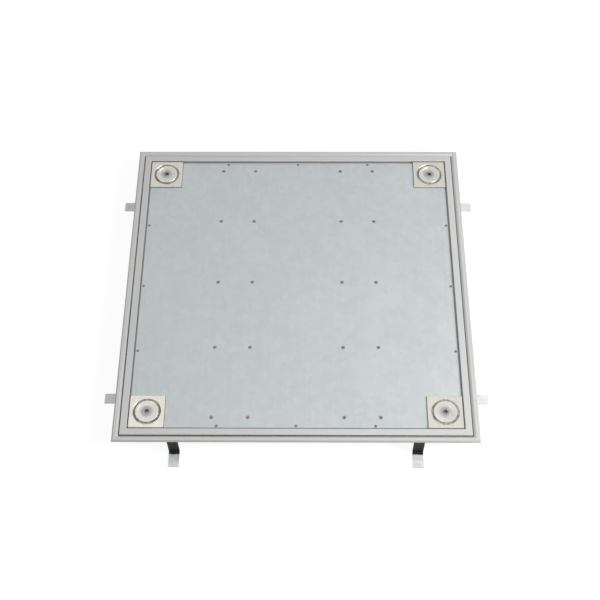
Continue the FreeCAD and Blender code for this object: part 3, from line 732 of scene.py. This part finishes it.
def head_out(low, high):
    """A rivet through the wall of the frame, its head outward."""
    middle = (low + high) / 2
    lies_along_y = high.x - low.x < high.y - low.y
    if lies_along_y:
        angle = 0 if middle.y < 0 else math.pi
        outer = low.y if middle.y < 0 else high.y
        spot = Vector((middle.x, outer, middle.z))
    else:
        angle = -math.pi / 2 if middle.x < 0 else math.pi / 2
        outer = low.x if middle.x < 0 else high.x
        spot = Vector((outer, middle.y, middle.z))
    inward = Matrix.Rotation(angle, 4, "Z") @ Matrix.Rotation(-math.pi / 2, 4, "X")
    return Matrix.Translation(spot) @ inward @ Matrix.Translation((0, 0, RIVET_RISE))


def dress_fasteners():
    """Detailed fasteners in place of the plain ones."""
    for name, node, rest in (
        ("edge_cross_screws", "edge_screws", head_up),
        ("stiffener_cross_screws", "stiffener_screws", head_up),
        ("block_cross_screws", "block_screws", head_down),
        ("gusset_cross_screws", "gusset_screws", head_down),
    ):
        low, high = solids_of(node)[0]
        fastener_group(name, node, cross_screw(high.x - low.x, high.z - low.z), rest)
    low, high = solids_of("lock_bolts")[0]
    head = high.x - low.x
    bolt = socket_bolt(head, high.z - low.z)
    fastener_group("socket_lock_bolts", "lock_bolts", bolt, head_up)
    low, high = solids_of("lock_nuts")[0]
    nut = chamfered_nut(high.y - low.y, high.z - low.z, head * NUT_BORE)
    fastener_group("chamfered_lock_nuts", "lock_nuts", nut, head_up, turned_by_chance=False)
    low, high = solids_of("anchor_rivets")[0]
    rivet = blind_rivet(high.z - low.z, max(high - low))
    fastener_group("blind_anchor_rivets", "anchor_rivets", rivet, head_out, turned_by_chance=False)


def light_path_white(tree):
    """1 for what the camera, a reflection or a clear surface sees, and 0 for other light."""
    path = add(tree, "LightPath").outputs
    seen = math_node(tree, "MAXIMUM", path["Is Camera Ray"], path["Is Glossy Ray"])
    return math_node(tree, "MAXIMUM", seen, path["Is Transmission Ray"])


def surround():
    """White wherever it is seen, and an even soft fill elsewhere."""
    world = bpy.data.worlds.new("studio")
    bpy.context.scene.world = world
    world.use_nodes = True
    tree = world.node_tree
    fill = add(tree, "Background", {"Color": (*WHITE, 1), "Strength": SURROUND})
    white = add(tree, "Background", {"Color": (*WHITE, 1), "Strength": 1.0})
    mix = add(tree, "MixShader", {0: light_path_white(tree), 1: fill.outputs[0], 2: white.outputs[0]})
    tree.links.new(mix.outputs[0], tree.nodes["World Output"].inputs["Surface"])


def floor():
    """Pale floor that stays white to the camera and keeps a soft shadow."""
    mesh = bpy.data.meshes.new("floor")
    half = FLOOR_SIZE / 2
    corners = [(-half, -half, 0), (half, -half, 0), (half, half, 0), (-half, half, 0)]
    mesh.from_pydata(corners, [], [(0, 1, 2, 3)])
    plane = bpy.data.objects.new("floor", mesh)
    plane.location.z = -FLOOR_DROP
    bpy.context.scene.collection.objects.link(plane)
    tree = start("floor_paper")
    tree.nodes.remove(tree.nodes["Principled BSDF"])
    paper = add(tree, "BsdfDiffuse", {"Color": (FLOOR_TONE, FLOOR_TONE, FLOOR_TONE, 1)})
    glow = math_node(tree, "MULTIPLY", light_path_white(tree), FLOOR_GLOW)
    white = add(tree, "Emission", {"Color": (*WHITE, 1), "Strength": glow})
    both = add(tree, "AddShader", {0: paper.outputs[0], 1: white.outputs[0]})
    tree.links.new(both.outputs[0], tree.nodes["Material Output"].inputs["Surface"])
    mesh.materials.append(bpy.data.materials["floor_paper"])


def lamps():
    """Broad soft lamps turned to the middle of the cover."""
    target = Vector((0, 0, PART_TOP))
    for name, lamp in LAMPS.items():
        data = bpy.data.lights.new(name, "AREA")
        data.shape = "RECTANGLE"
        data.size, data.size_y = lamp["size"]
        data.energy = lamp["power"]
        item = bpy.data.objects.new(name, data)
        item.location = lamp["place"]
        item.rotation_euler = (target - item.location).to_track_quat("-Z", "Y").to_euler()
        bpy.context.scene.collection.objects.link(item)


def camera():
    """The photograph's viewpoint."""
    data = bpy.data.cameras.new("camera")
    data.sensor_width = CAMERA_SENSOR
    data.lens = CAMERA_LENS
    item = bpy.data.objects.new("camera", data)
    turn = Matrix.Rotation(math.radians(CAMERA_TURN), 4, "Z")
    tilt = Matrix.Rotation(math.radians(CAMERA_TILT), 4, "X")
    roll = Matrix.Rotation(math.radians(CAMERA_ROLL), 4, "Z")
    item.matrix_world = Matrix.Translation(CAMERA_PLACE) @ turn @ tilt @ roll
    bpy.context.scene.collection.objects.link(item)
    bpy.context.scene.camera = item


dress_nodes()
dress_fasteners()
surround()
floor()
lamps()
camera()
bpy.context.scene.view_settings.view_transform = "Standard"
